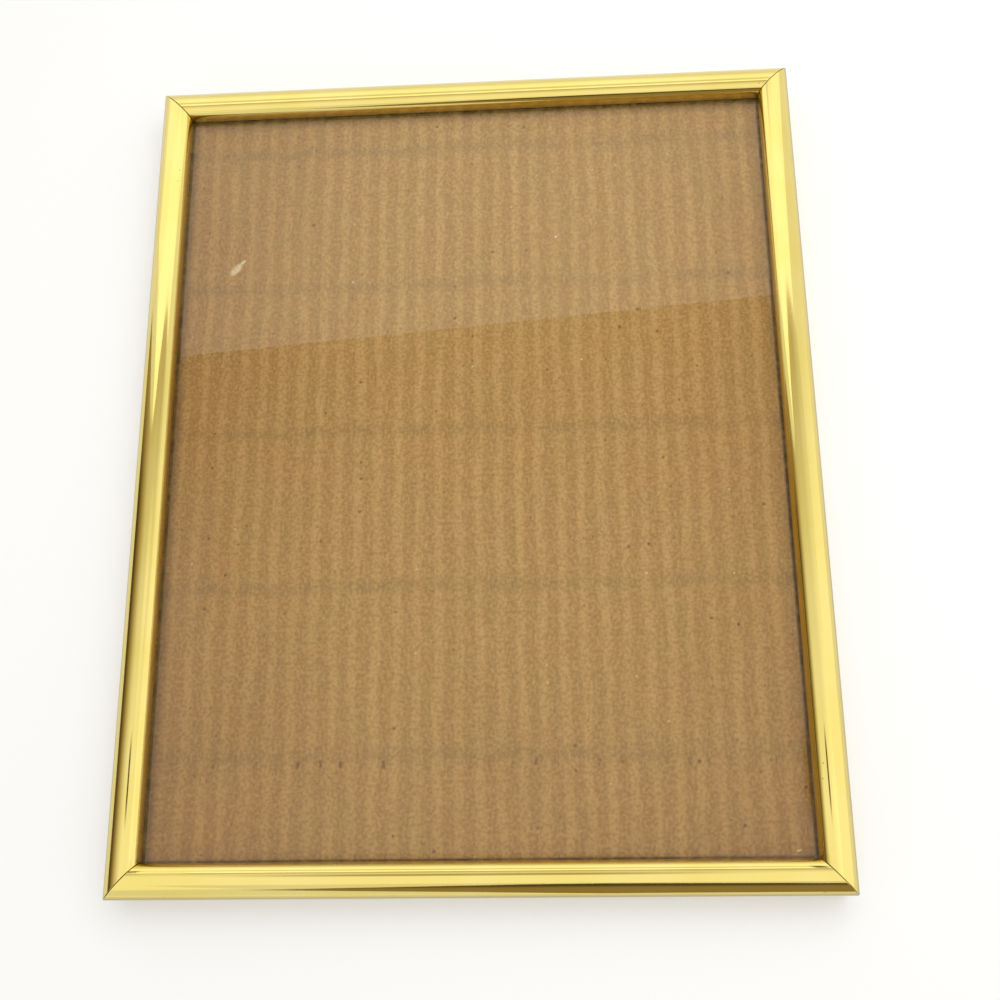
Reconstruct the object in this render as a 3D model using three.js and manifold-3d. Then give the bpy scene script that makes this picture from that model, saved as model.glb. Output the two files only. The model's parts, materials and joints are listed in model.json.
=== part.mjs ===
// Portrait picture frame of four mitred gold metal rails round glass, a corrugated filler board
// and an easel back, lying on its back with the glass up. Sizes are in millimetres.
// +Z points out of the glass and +Y to the picture's top edge. The origin is at the middle of the rear plane.
import * as THREE from "three";
import { mergeVertices } from "three/addons/utils/BufferGeometryUtils.js";
import Module from "manifold-3d";

const wasm = await Module();
wasm.setup();

// Picture size: the glass is cut to it, eight by ten inches
const pictureWidth = 203.2;
const pictureHeight = 254;
const glassThickness = 2;

// Rail section
const railWall = 1.1;
const hemDepth = 2.4;
const hemThickness = 1;
const loadingClearance = 0.5;
const faceWidth = 9.9;
const crownRise = 3.4;
const innerRollRadius = 3.6;
const arrisAboveGlass = 2;
const beadWall = 1;
const seatWeb = 0.9;
const mitreGap = 0.2;

// Corner keys inside the bead
const keyLeg = 24;
const keyWidth = 4.6;
const keyClearance = 0.3;

// Corrugated filler board behind the glass
const fillerThickness = 3.2;
const fillerTrim = 0.6;
const flutePitch = 6.3;
const linerThickness = 0.35;
const mediumThickness = 0.3;
const fluteShoulder = 0.15; // share of the pitch that is glued to a liner on each side of a crest

// Back panel and easel strut
const panelThickness = 2.4;
const panelTrim = 0.5;
const strutThickness = 2.2;
const strutTopWidth = 46;
const strutFootWidth = 64;
const strutFootClearance = 3;
const strutFootCorner = 7;
const strutOpening = THREE.MathUtils.degToRad(25);
const foldGap = 0.4;

// Strut hinge
const hingeInset = 71;
const hingeWidth = 40;
const middleKnuckleWidth = 16;
const knuckleGap = 0.3;
const leafLength = 20;
const leafThickness = 0.8;
const leafRivetInset = 12;
const leafRivetSpacing = 13;
const pinRadius = 0.8;
const stopGap = 0.1;

// Turn buttons along the four edges of the back panel
const buttonThickness = 0.8;
const buttonReach = 15;
const buttonBaseRadius = 4.5;
const buttonTipRadius = 3;
const buttonTipClearance = 0.4;
const buttonHemGap = 0.25;
const joggleStart = 5;
const joggleRun = 3;
const buttonSpacingLong = 150;
const buttonSpacingShort = 130;

// Hanger straps and rings, one for each way up
const strapWidth = 9;
const strapLength = 15;
const strapRivetInset = 9;
const hangerInset = 19;
const ringWidth = 16;
const ringHeight = 12.5;
const ringCorner = 2;
const ringWireRadius = 0.8;

// Rivets
const rivetHeadRadius = 2.5;
const rivetHeadHeight = 0.6;
const rivetHeadFlat = 1.5;
const rivetShankRadius = 1.4;
const rivetFlangeRadius = 2.2;
const rivetFlangeThickness = 0.5;
const rivetFit = 0.15;

// Gaps between pieces
const seatGap = 0.1;
const runningClearance = 0.08;
const tableGap = 0.3;
const cutOvershoot = 1;

// Facets of the round shapes
const roundSides = 16;
const wireSides = 8;
const arcSegments = 6;
const channelSteps = 4;

// Overall size
const outerWidth = pictureWidth + 2 * (loadingClearance + hemDepth + railWall);
const outerHeight = pictureHeight + 2 * (loadingClearance + hemDepth + railWall);
const panelWidth = pictureWidth - 2 * panelTrim;
const panelHeight = pictureHeight - 2 * panelTrim;

// Heights of the stack, from the rear plane up to the crest of the rails
const strutRear = tableGap + rivetHeadHeight + leafThickness + 2 * seatGap;
const panelRear = strutRear + strutThickness + foldGap;
const panelFront = panelRear + panelThickness;
const fillerRear = panelFront + seatGap;
const glassRear = fillerRear + fillerThickness + seatGap;
const glassFront = glassRear + glassThickness;
const seatHeight = glassFront + seatGap;
const cavityFloor = seatHeight + seatWeb;
const arrisHeight = glassFront + arrisAboveGlass;
const crestHeight = arrisHeight + crownRise;

// Bead arcs: a wide crown from the outer arris to the crest, then a quarter round down to the sight edge
const crestInset = faceWidth - innerRollRadius;
const crownRadius = (crestInset ** 2 + crownRise ** 2) / (2 * crownRise);
const crownCentre = crestHeight - crownRadius;
const rollCentre = crestHeight - innerRollRadius;

// Hinge and hanger bores clear their wires at every turn of the facets
const boreFor = (radius) => (radius + runningClearance) / Math.cos(Math.PI / roundSides);
const pinBore = boreFor(pinRadius);
const knuckleRadius = pinBore + leafThickness;
const ringBore = boreFor(ringWireRadius);
const plateFront = panelRear - seatGap;
const hingeHeight = plateFront - knuckleRadius;
const hingeY = panelHeight / 2 - hingeInset;
const ringHeightOverRear = plateFront - ringBore - leafThickness;
const strutFootY = railWall + hemDepth + strutFootClearance - outerHeight / 2;

const finish = (color, metalness, roughness) =>
  new THREE.MeshStandardMaterial({ color, metalness, roughness });
const gold = finish(0xe2bd45, 1, 0.12);
const zincPlate = finish(0xb4b6b8, 1, 0.4);
const nickelPlate = finish(0xcac6bc, 1, 0.25);
const kraftBoard = finish(0xa98452, 0, 0.9);
const coveredBoard = finish(0x24211f, 0, 0.8);
const clearGlass = finish(0xdfe8e4, 0, 0.05);
clearGlass.transparent = true;
clearGlass.opacity = 0.3;

const frame = new THREE.Group();

function add(name, geometry, material, x = 0, y = 0, turn = 0) {
  const mesh = new THREE.Mesh(geometry, material);
  mesh.name = name;
  mesh.position.set(x, y, 0);
  mesh.rotation.z = turn;
  frame.add(mesh);
}

function solidOf(geometry) {
  const bare = geometry.clone();
  bare.deleteAttribute("normal");
  bare.deleteAttribute("uv");
  const merged = mergeVertices(bare);
  const vertProperties = merged.attributes.position.array;
  const triVerts = new Uint32Array(merged.index.array);
  return new wasm.Manifold(new wasm.Mesh({ numProp: 3, vertProperties, triVerts }));
}

function geometryOf(solid) {
  const { vertProperties, triVerts } = solid.getMesh();
  const geometry = new THREE.BufferGeometry();
  geometry.setAttribute("position", new THREE.BufferAttribute(vertProperties, 3));
  geometry.setIndex(new THREE.BufferAttribute(triVerts, 1));
  geometry.computeVertexNormals();
  return geometry;
}

function joined(pieces) {
  return geometryOf(pieces.map(solidOf).reduce((whole, piece) => whole.add(piece)));
}

function cut(geometry, tools) {
  return geometryOf(tools.map(solidOf).reduce((left, tool) => left.subtract(tool), solidOf(geometry)));
}

function common(first, second) {
  return geometryOf(solidOf(first).intersect(solidOf(second)));
}

function box([x0, x1], [y0, y1], [z0, z1]) {
  const geometry = new THREE.BoxGeometry(x1 - x0, y1 - y0, z1 - z0);
  return geometry.translate((x0 + x1) / 2, (y0 + y1) / 2, (z0 + z1) / 2);
}

function plate(shape, [z0, z1]) {
  const geometry = new THREE.ExtrudeGeometry(shape, {
    depth: z1 - z0,
    bevelEnabled: false,
    curveSegments: arcSegments,
  });
  return geometry.translate(0, 0, z0);
}

function upright(radius, [z0, z1]) {
  const geometry = new THREE.CylinderGeometry(radius, radius, z1 - z0, roundSides);
  return geometry.rotateX(Math.PI / 2).translate(0, 0, (z0 + z1) / 2);
}

function barAlongX(radius, [x0, x1], z) {
  const geometry = new THREE.CylinderGeometry(radius, radius, x1 - x0, roundSides);
  return geometry.rotateZ(Math.PI / 2).translate((x0 + x1) / 2, 0, z);
}

// Section of a rail: x runs inwards from the outer face, y up from the rear plane
function railSection() {
  const section = new THREE.Shape();
  section.moveTo(0, 0);
  section.lineTo(railWall + hemDepth, 0);
  section.lineTo(railWall + hemDepth, hemThickness);
  section.lineTo(railWall, hemThickness);
  section.lineTo(railWall, seatHeight);
  section.lineTo(faceWidth, seatHeight);
  section.absarc(crestInset, rollCentre, innerRollRadius, 0, Math.PI / 2, false);
  const arrisAngle = Math.PI / 2 + Math.asin(crestInset / crownRadius);
  section.absarc(crestInset, crownCentre, crownRadius, Math.PI / 2, arrisAngle, false);

  const cavity = new THREE.Path();
  const cavityRadius = crownRadius - beadWall;
  const cavityAngle = Math.PI / 2 + Math.asin((crestInset - railWall) / cavityRadius);
  cavity.moveTo(railWall, cavityFloor);
  cavity.lineTo(faceWidth - beadWall, cavityFloor);
  cavity.absarc(crestInset, rollCentre, innerRollRadius - beadWall, 0, Math.PI / 2, false);
  cavity.absarc(crestInset, crownCentre, cavityRadius, Math.PI / 2, cavityAngle, false);
  section.holes.push(cavity);
  return section;
}

// A rail lies along X with its outer face on y = 0, and each end is cut back by its inset to make the mitre
function rail(length) {
  const geometry = plate(railSection(), [-1, 1]);
  const points = geometry.attributes.position;
  const setback = mitreGap / 2 / Math.cos(Math.PI / 4);
  for (let i = 0; i < points.count; i++) {
    const inset = points.getX(i);
    const height = points.getY(i);
    const end = points.getZ(i);
    points.setXYZ(i, end * (length / 2 - inset - setback), inset, height);
  }
  return geometry;
}

function addRails() {
  add("rail_bottom", rail(outerWidth), gold, 0, -outerHeight / 2);
  add("rail_right", rail(outerHeight), gold, outerWidth / 2, 0, Math.PI / 2);
  add("rail_top", rail(outerWidth), gold, 0, outerHeight / 2, Math.PI);
  add("rail_left", rail(outerHeight), gold, -outerWidth / 2, 0, -Math.PI / 2);
}

// An L-shaped key for the corner at the origin, as thick as the bead's cavity lets in
function cornerKey() {
  const near = (railWall + faceWidth - beadWall - keyWidth) / 2;
  const far = near + keyWidth;
  const crownRoof = crownCentre + Math.sqrt((crownRadius - beadWall) ** 2 - (near - crestInset) ** 2);
  const rollReach = Math.max(0, far - crestInset);
  const rollRoof = rollCentre + Math.sqrt((innerRollRadius - beadWall) ** 2 - rollReach ** 2);
  const corner = new THREE.Shape();
  corner.moveTo(near, near);
  corner.lineTo(near + keyLeg, near);
  corner.lineTo(near + keyLeg, far);
  corner.lineTo(far, far);
  corner.lineTo(far, near + keyLeg);
  corner.lineTo(near, near + keyLeg);
  return plate(corner, [cavityFloor + keyClearance, Math.min(crownRoof, rollRoof) - keyClearance]);
}

function addCornerKeys() {
  const right = outerWidth / 2;
  const top = outerHeight / 2;
  add("corner_key_bottom_left", cornerKey(), zincPlate, -right, -top);
  add("corner_key_bottom_right", cornerKey(), zincPlate, right, -top, Math.PI / 2);
  add("corner_key_top_right", cornerKey(), zincPlate, right, top, Math.PI);
  add("corner_key_top_left", cornerKey(), zincPlate, -right, top, -Math.PI / 2);
}

function addGlass() {
  const across = [-pictureWidth / 2, pictureWidth / 2];
  const along = [-pictureHeight / 2, pictureHeight / 2];
  add("glass_pane", box(across, along, [glassRear, glassFront]), clearGlass);
}

// One flute channel between the wavy medium and a flat liner: side is 1 under the front liner
// and -1 over the rear one
function fluteChannel(start, side) {
  const middle = fillerThickness / 2;
  const swing = middle - linerThickness - mediumThickness / 2;
  const liner = middle + side * (middle - linerThickness);
  const channel = new THREE.Shape();
  channel.moveTo(start + flutePitch * fluteShoulder, liner);
  for (let step = 0; step <= channelSteps; step++) {
    const share = fluteShoulder + ((1 - 2 * fluteShoulder) * step) / channelSteps;
    const wave = swing * Math.cos(2 * Math.PI * share) + mediumThickness / 2;
    channel.lineTo(start + flutePitch * share, middle + side * wave);
  }
  channel.lineTo(start + flutePitch * (1 - fluteShoulder), liner);
  const reach = pictureHeight / 2 + cutOvershoot;
  return plate(channel, [-reach, reach]).rotateX(Math.PI / 2).translate(0, 0, fillerRear);
}

// Corrugated board whose flutes run up the picture and are open at both ends
function fillerBoard() {
  const width = pictureWidth - 2 * fillerTrim;
  const height = pictureHeight - 2 * fillerTrim;
  const flutes = Math.floor(width / flutePitch);
  const first = (-flutes * flutePitch) / 2;
  const channels = [];
  for (let flute = 0; flute < flutes; flute++) {
    channels.push(fluteChannel(first + flute * flutePitch, 1));
  }
  for (let flute = 0; flute < flutes - 1; flute++) {
    channels.push(fluteChannel(first + (flute + 0.5) * flutePitch, -1));
  }
  const level = [fillerRear, fillerRear + fillerThickness];
  return cut(box([-width / 2, width / 2], [-height / 2, height / 2], level), channels);
}

// A rivet from its rear head, through a plate and a board, to a flange sunk in the board's front face
function rivet(plateRear, boardFront) {
  const headFront = plateRear - seatGap;
  const headRear = headFront - rivetHeadHeight;
  const flangeFront = boardFront - seatGap;
  const flangeRear = flangeFront - rivetFlangeThickness;
  const profile = [
    [0, headRear],
    [rivetHeadFlat, headRear],
    [rivetHeadRadius, headRear + rivetHeadHeight / 2],
    [rivetHeadRadius, headFront],
    [rivetShankRadius, headFront],
    [rivetShankRadius, flangeRear],
    [rivetFlangeRadius, flangeRear],
    [rivetFlangeRadius, flangeFront],
    [0, flangeFront],
  ];
  const points = profile.map(([radius, height]) => new THREE.Vector2(radius, height));
  return new THREE.LatheGeometry(points, roundSides).rotateX(Math.PI / 2);
}

// What a rivet needs cleared in its board: the shank's hole and the flange's recess
function rivetHoles(places, boardRear, boardFront) {
  const recessFloor = boardFront - rivetFlangeThickness - 2 * seatGap;
  const bottom = boardRear - cutOvershoot;
  const top = boardFront + cutOvershoot;
  return places.flatMap(([x, y]) => [
    upright(rivetShankRadius + rivetFit, [bottom, top]).translate(x, y, 0),
    upright(rivetFlangeRadius + rivetFit, [recessFloor, top]).translate(x, y, 0),
  ]);
}

// Turn buttons: pivot place, and the turn that points the arm at its rail
const buttonPivotInset = railWall + buttonTipClearance + buttonReach;
const buttonSideX = outerWidth / 2 - buttonPivotInset;
const buttonSideY = outerHeight / 2 - buttonPivotInset;
const buttons = [
  ["right_upper", buttonSideX, buttonSpacingLong / 2, 0],
  ["right_lower", buttonSideX, -buttonSpacingLong / 2, 0],
  ["top_right", buttonSpacingShort / 2, buttonSideY, Math.PI / 2],
  ["top_left", -buttonSpacingShort / 2, buttonSideY, Math.PI / 2],
  ["left_upper", -buttonSideX, buttonSpacingLong / 2, Math.PI],
  ["left_lower", -buttonSideX, -buttonSpacingLong / 2, Math.PI],
  ["bottom_left", -buttonSpacingShort / 2, -buttonSideY, -Math.PI / 2],
  ["bottom_right", buttonSpacingShort / 2, -buttonSideY, -Math.PI / 2],
];

// A stamped button along +X of its pivot, stepped down so that its tip passes inside the rear hem
function turnButton() {
  const baseFront = plateFront;
  const tipFront = hemThickness + buttonHemGap + buttonThickness;
  const joggleEnd = joggleStart + joggleRun;
  const side = new THREE.Shape();
  side.moveTo(-buttonBaseRadius, baseFront);
  side.lineTo(-buttonBaseRadius, baseFront - buttonThickness);
  side.lineTo(joggleStart, baseFront - buttonThickness);
  side.lineTo(joggleEnd, tipFront - buttonThickness);
  side.lineTo(buttonReach, tipFront - buttonThickness);
  side.lineTo(buttonReach, tipFront);
  side.lineTo(joggleEnd, tipFront);
  side.lineTo(joggleStart, baseFront);
  const strip = plate(side, [-buttonBaseRadius, buttonBaseRadius]).rotateX(Math.PI / 2);

  const outline = new THREE.Shape();
  outline.absarc(0, 0, buttonBaseRadius, Math.PI / 2, 1.5 * Math.PI, false);
  outline.absarc(buttonReach - buttonTipRadius, 0, buttonTipRadius, -Math.PI / 2, Math.PI / 2, false);
  const stamped = common(strip, plate(outline, [0, panelRear]));
  return cut(stamped, [upright(boreFor(rivetShankRadius), [0, panelRear])]);
}

function addTurnButtons() {
  for (const [place, x, y, turn] of buttons) {
    add(`turn_button_${place}`, turnButton(), nickelPlate, x, y, turn);
    add(`button_rivet_${place}`, rivet(plateFront - buttonThickness, panelFront), nickelPlate, x, y);
  }
}

// Strut hinge: three knuckles on one pin, the outer two on the panel and the middle one on the strut
const leafRivetX = [-leafRivetSpacing, 0, leafRivetSpacing];
const middleKnuckle = [-middleKnuckleWidth / 2, middleKnuckleWidth / 2];
const outerKnuckles = [
  [-hingeWidth / 2, middleKnuckle[0] - knuckleGap],
  [middleKnuckle[1] + knuckleGap, hingeWidth / 2],
];
const knuckleClear = knuckleRadius + knuckleGap;

function knuckledPlate(plates, knuckles, boreRadius, axisHeight) {
  const barrels = knuckles.map((span) => barAlongX(boreRadius + leafThickness, span, axisHeight));
  const bore = barAlongX(boreRadius, [-hingeWidth, hingeWidth], axisHeight);
  return cut(joined([...plates, ...barrels]), [bore]);
}

function panelLeaf() {
  const level = [plateFront - leafThickness, plateFront];
  const body = box([-hingeWidth / 2, hingeWidth / 2], [knuckleClear, leafLength], level);
  const tongues = outerKnuckles.map((span) => box(span, [0, knuckleClear], level));
  const leaf = knuckledPlate([body, ...tongues], outerKnuckles, pinBore, hingeHeight);
  const hole = rivetShankRadius + rivetFit;
  return cut(leaf, leafRivetX.map((x) => upright(hole, [0, panelRear]).translate(x, leafRivetInset, 0)));
}

// The strut's leaf reaches past the pin as a heel, which meets the panel's leaf when the strut is open
function strutLeaf() {
  const leafFront = strutRear - seatGap;
  const level = [leafFront - leafThickness, leafFront];
  const stopRise = plateFront - leafThickness - stopGap - hingeHeight;
  const heelDrop = hingeHeight - leafFront;
  const heel = (stopRise + heelDrop * Math.cos(strutOpening)) / Math.sin(strutOpening);
  const body = box([-hingeWidth / 2, hingeWidth / 2], [-leafLength, -knuckleClear], level);
  const tongue = box(middleKnuckle, [-knuckleClear, heel], level);
  const leaf = knuckledPlate([body, tongue], [middleKnuckle], pinBore, hingeHeight);
  const hole = rivetShankRadius + rivetFit;
  return cut(leaf, leafRivetX.map((x) => upright(hole, [0, panelRear]).translate(x, -leafRivetInset, 0)));
}

function addStrutHinge() {
  add("hinge_panel_leaf", panelLeaf(), nickelPlate, 0, hingeY);
  add("hinge_strut_leaf", strutLeaf(), nickelPlate, 0, hingeY);
  const pin = barAlongX(pinRadius, [-hingeWidth / 2, hingeWidth / 2], hingeHeight);
  add("hinge_pin", pin, zincPlate, 0, hingeY);
  leafRivetX.forEach((x, index) => {
    const panelRivet = rivet(plateFront - leafThickness, panelFront);
    const strutRivet = rivet(strutRear - seatGap - leafThickness, strutRear + strutThickness);
    add(`hinge_panel_rivet_${index + 1}`, panelRivet, nickelPlate, x, hingeY + leafRivetInset);
    add(`hinge_strut_rivet_${index + 1}`, strutRivet, nickelPlate, x, hingeY - leafRivetInset);
  });
}

// The strut widens from the hinge to its foot, whose corners are cut off
function easelStrut() {
  const topY = hingeY - knuckleClear;
  const board = new THREE.Shape();
  board.moveTo(-strutTopWidth / 2, topY);
  board.lineTo(-strutFootWidth / 2, strutFootY + strutFootCorner);
  board.lineTo(strutFootCorner - strutFootWidth / 2, strutFootY);
  board.lineTo(strutFootWidth / 2 - strutFootCorner, strutFootY);
  board.lineTo(strutFootWidth / 2, strutFootY + strutFootCorner);
  board.lineTo(strutTopWidth / 2, topY);
  const front = strutRear + strutThickness;
  const places = leafRivetX.map((x) => [x, hingeY - leafRivetInset]);
  return cut(plate(board, [strutRear, front]), rivetHoles(places, strutRear, front));
}

// Hangers: place of the ring's axis, and the turn that points the ring at its edge
const hangers = [
  ["portrait", 0, panelHeight / 2 - hangerInset, 0],
  ["landscape", panelWidth / 2 - hangerInset, 0, -Math.PI / 2],
];

function hangerStrap() {
  const half = strapWidth / 2;
  const strip = box([-half, half], [-strapLength, 0], [plateFront - leafThickness, plateFront]);
  const strap = knuckledPlate([strip], [[-half, half]], ringBore, ringHeightOverRear);
  const hole = upright(rivetShankRadius + rivetFit, [0, panelRear]);
  return cut(strap, [hole.translate(0, -strapRivetInset, 0)]);
}

// A D-ring of round wire: its straight side lies in the strap, on the X axis
function hangerRing() {
  const half = ringWidth / 2;
  const shoulder = ringHeight - half;
  const loop = new THREE.Path();
  loop.moveTo(ringCorner - half, 0);
  loop.lineTo(half - ringCorner, 0);
  loop.absarc(half - ringCorner, ringCorner, ringCorner, -Math.PI / 2, 0, false);
  loop.absarc(0, shoulder, half, 0, Math.PI, false);
  loop.absarc(ringCorner - half, ringCorner, ringCorner, Math.PI, 1.5 * Math.PI, false);
  return closedWire(loop.getPoints(arcSegments), ringWireRadius, ringHeightOverRear);
}

// Round wire along a flat closed loop of points
function closedWire(points, radius, height) {
  const apart = (point, index) => point.distanceTo(points[(index + 1) % points.length]) > radius / 100;
  const loop = points.filter(apart);
  const count = loop.length;
  const position = [];
  const index = [];
  loop.forEach((point, i) => {
    const ahead = loop[(i + 1) % count].clone().sub(point).normalize();
    const behind = point.clone().sub(loop[(i + count - 1) % count]).normalize();
    const outward = ahead.clone().add(behind).normalize().rotateAround(new THREE.Vector2(), -Math.PI / 2);
    const widening = 1 / Math.sqrt((1 + ahead.dot(behind)) / 2);
    for (let side = 0; side < wireSides; side++) {
      const angle = (2 * Math.PI * side) / wireSides;
      const reach = radius * Math.cos(angle) * widening;
      const level = height + radius * Math.sin(angle);
      position.push(point.x + outward.x * reach, point.y + outward.y * reach, level);
      const next = (side + 1) % wireSides;
      const here = i * wireSides;
      const there = ((i + 1) % count) * wireSides;
      index.push(here + side, there + side, there + next, here + side, there + next, here + next);
    }
  });
  const geometry = new THREE.BufferGeometry();
  geometry.setAttribute("position", new THREE.Float32BufferAttribute(position, 3));
  geometry.setIndex(index);
  geometry.computeVertexNormals();
  return geometry;
}

function hangerRivetPlace([, x, y, turn]) {
  return [x + Math.sin(turn) * strapRivetInset, y - Math.cos(turn) * strapRivetInset];
}

function addHangers() {
  for (const hanger of hangers) {
    const [way, x, y, turn] = hanger;
    const [rivetX, rivetY] = hangerRivetPlace(hanger);
    add(`hanger_strap_${way}`, hangerStrap(), nickelPlate, x, y, turn);
    add(`hanger_ring_${way}`, hangerRing(), nickelPlate, x, y, turn);
    add(`hanger_rivet_${way}`, rivet(plateFront - leafThickness, panelFront), nickelPlate, rivetX, rivetY);
  }
}

function backPanel() {
  const across = [-panelWidth / 2, panelWidth / 2];
  const along = [-panelHeight / 2, panelHeight / 2];
  const places = [
    ...buttons.map(([, x, y]) => [x, y]),
    ...leafRivetX.map((x) => [x, hingeY + leafRivetInset]),
    ...hangers.map(hangerRivetPlace),
  ];
  return cut(box(across, along, [panelRear, panelFront]), rivetHoles(places, panelRear, panelFront));
}

addRails();
addCornerKeys();
addGlass();
add("corrugated_filler", fillerBoard(), kraftBoard);
add("back_panel", backPanel(), coveredBoard);
addTurnButtons();
add("easel_strut", easelStrut(), coveredBoard);
addStrutHinge();
addHangers();

export default frame;
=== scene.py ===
"""Looks of a portrait picture frame: gold bead rails, glass, bare corrugated board and an easel back.
The frame lies on its back on a white table, and +Z points out of the glass. Sizes are in metres."""
import json
import math

import bmesh
import bpy
import numpy as np
from mathutils import Matrix, Quaternion, Vector
from mathutils.geometry import tessellate_polygon

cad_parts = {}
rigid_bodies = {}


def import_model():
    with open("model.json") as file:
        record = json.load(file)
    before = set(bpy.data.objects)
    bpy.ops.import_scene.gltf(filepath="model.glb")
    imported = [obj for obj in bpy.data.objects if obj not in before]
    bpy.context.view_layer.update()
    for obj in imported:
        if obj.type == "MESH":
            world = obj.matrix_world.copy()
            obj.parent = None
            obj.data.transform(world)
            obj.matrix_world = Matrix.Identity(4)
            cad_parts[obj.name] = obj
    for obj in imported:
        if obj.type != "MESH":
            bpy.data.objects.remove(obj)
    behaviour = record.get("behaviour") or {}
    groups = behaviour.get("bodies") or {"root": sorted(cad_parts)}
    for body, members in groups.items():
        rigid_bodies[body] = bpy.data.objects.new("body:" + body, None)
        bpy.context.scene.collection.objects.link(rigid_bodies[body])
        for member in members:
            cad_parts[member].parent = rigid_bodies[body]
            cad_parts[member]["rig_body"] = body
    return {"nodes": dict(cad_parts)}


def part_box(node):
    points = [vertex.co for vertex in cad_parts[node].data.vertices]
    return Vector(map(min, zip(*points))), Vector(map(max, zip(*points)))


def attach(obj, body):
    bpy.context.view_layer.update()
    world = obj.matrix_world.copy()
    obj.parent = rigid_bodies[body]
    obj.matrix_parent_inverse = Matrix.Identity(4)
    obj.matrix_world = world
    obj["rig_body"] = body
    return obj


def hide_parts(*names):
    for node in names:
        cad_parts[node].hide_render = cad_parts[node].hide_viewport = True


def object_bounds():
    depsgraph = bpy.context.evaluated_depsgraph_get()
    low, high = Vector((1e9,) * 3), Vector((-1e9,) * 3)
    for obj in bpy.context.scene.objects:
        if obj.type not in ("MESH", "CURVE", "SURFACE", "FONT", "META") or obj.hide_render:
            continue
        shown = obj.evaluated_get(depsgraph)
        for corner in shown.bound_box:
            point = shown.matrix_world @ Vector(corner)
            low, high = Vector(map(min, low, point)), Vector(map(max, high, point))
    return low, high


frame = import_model()
cad_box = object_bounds()
MM = 0.001

# Camera: where it stands, the point it looks at and its turn about the line of sight
CAMERA_PLACE = Vector((26.5, -106.7, 343.4)) * MM
CAMERA_AIM = Vector((8.2, -15.9, 12.3)) * MM
CAMERA_ROLL = math.radians(-12.43)
FOCAL_PIXELS = 1122
IMAGE_PIXELS = 1000
SENSOR_WIDTH = 36

# Rail section
WALL = 1.1 * MM
HEM_DEPTH = 2.4 * MM
HEM_THICKNESS = 1.0 * MM
ROLL_RADIUS = 3.6 * MM
CROWN_RISE = 3.4 * MM
BEAD_WALL = 1.0 * MM
SEAT_WEB = 0.9 * MM
SEAT_GAP = 0.1 * MM
MITRE_GAP = 0.2 * MM
MITRE_EASE = 0.05 * MM
ARRIS_ROUND = 0.35 * MM
EDGE_ROUND = 0.2 * MM
CROWN_STEPS = 26
ROLL_STEPS = 20
RAIL_STATIONS = 48
TIP_WEAR = 1.0 * MM
SIDE_BAND = 0.4 * MM

# Corrugated board
FLUTE_PITCH = 6.29 * MM
FLUTE_OFFSET = 1.65 * MM
LINER = 0.35 * MM
MEDIUM = 0.3 * MM
WASHBOARD_DEPTH = 0.14 * MM
CREASE_SPACING = 49.9 * MM
CREASE_TOP = 108 * MM
CREASES = 5
CREASE_WIDTH = 1.5 * MM
CREASE_DEPTH = 0.08 * MM
CREASE_HEIGHTS = [CREASE_TOP - k * CREASE_SPACING for k in range(CREASES)]
LINER_COLUMNS = 322
LINER_ROWS = 170

# Kraft paper colours, marks on the board behind the glass, and the painted shade and highlight on it
KRAFT_RED = (0.462, 0.234, 0.064, 1)
KRAFT_GREEN = (0.434, 0.243, 0.065, 1)
KRAFT_DARK = (0.374, 0.198, 0.047, 1)
GRAIN_DARK = (0.34, 0.175, 0.039, 1)
# Paler flute stripes: partly glue-line tone, partly a painted highlight on the washboard ridges
STRIPE_TONE_AND_HIGHLIGHT = (0.585, 0.335, 0.110, 1)
FIBRE_COLOUR = (0.592, 0.353, 0.126, 1)
LINE_COLOUR = (0.29, 0.175, 0.05, 1)
SPECK_COLOUR = (0.15, 0.07, 0.016, 1)
PALE_COLOUR = (0.95, 0.8, 0.58, 1)
SCUFF_COLOUR = (0.8, 0.63, 0.4, 1)
# Multiplied in as painted shade where the light falls off towards the board's edges
FALLOFF_SHADE_COLOUR = (0.77, 0.68, 0.54, 1)
# Colour of the painted shade along the rails, the shadow of their lips on the board
RAIL_SHADE_COLOUR = (0.075, 0.034, 0.008, 1)
TICK_HEIGHT = -94.4 * MM
BOARD_SPOTS = [
    ((-36.1 * MM, 24.6 * MM), (1.1 * MM, 0.9 * MM)),
    ((78.2 * MM, -55.4 * MM), (1.0 * MM, 1.2 * MM)),
    ((6.6 * MM, 68.8 * MM), (1.3 * MM, 0.8 * MM)),
]
BOARD_SCUFFS = [
    ((-78.4 * MM, 65.7 * MM), (6.8 * MM, 3.1 * MM), 0.85),
    ((-76.2 * MM, 68.3 * MM), (3.0 * MM, 1.3 * MM), 0.7),
    ((27.3 * MM, 73.4 * MM), (1.2 * MM, 0.9 * MM), 0.2),
    ((90.8 * MM, -119.2 * MM), (2.2 * MM, 0.8 * MM), 0.3),
]

# Gold rails: polished face, pits, bare metal at the rubbed tips, satin sides darkened by painted shade
GOLD_DEEP = (0.73, 0.595, 0.18, 1)
GOLD_PALE = (0.75, 0.62, 0.215, 1)
PIT_COLOUR = (0.5, 0.3, 0.08, 1)
BARE_METAL = (0.66, 0.7, 0.78, 1)
# Outer sides: a darker tint that is painted shade for the shadowed floor they mirror
SATIN_AND_SHADED_SIDE = (0.47, 0.4, 0.23, 1)

# Glass: its tint, and what passes to the board behind it
GLASS_TINT = (0.975, 0.985, 0.97, 1)
GLASS_PASSING = (0.955, 0.965, 0.955, 1)

# Covered board: deep and worn paper for the panel and the strut, its grain, scuffs and cut edges
PANEL_PAPER = ((0.012, 0.0115, 0.011, 1), (0.021, 0.02, 0.019, 1))
STRUT_PAPER = ((0.022, 0.021, 0.02, 1), (0.034, 0.0325, 0.031, 1))
PAPER_GROOVE = (0.006, 0.006, 0.006, 1)
PAPER_SCUFF = (0.09, 0.085, 0.08, 1)
HARDBOARD_DARK = (0.10, 0.055, 0.028, 1)
HARDBOARD_PALE = (0.24, 0.14, 0.07, 1)

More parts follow.
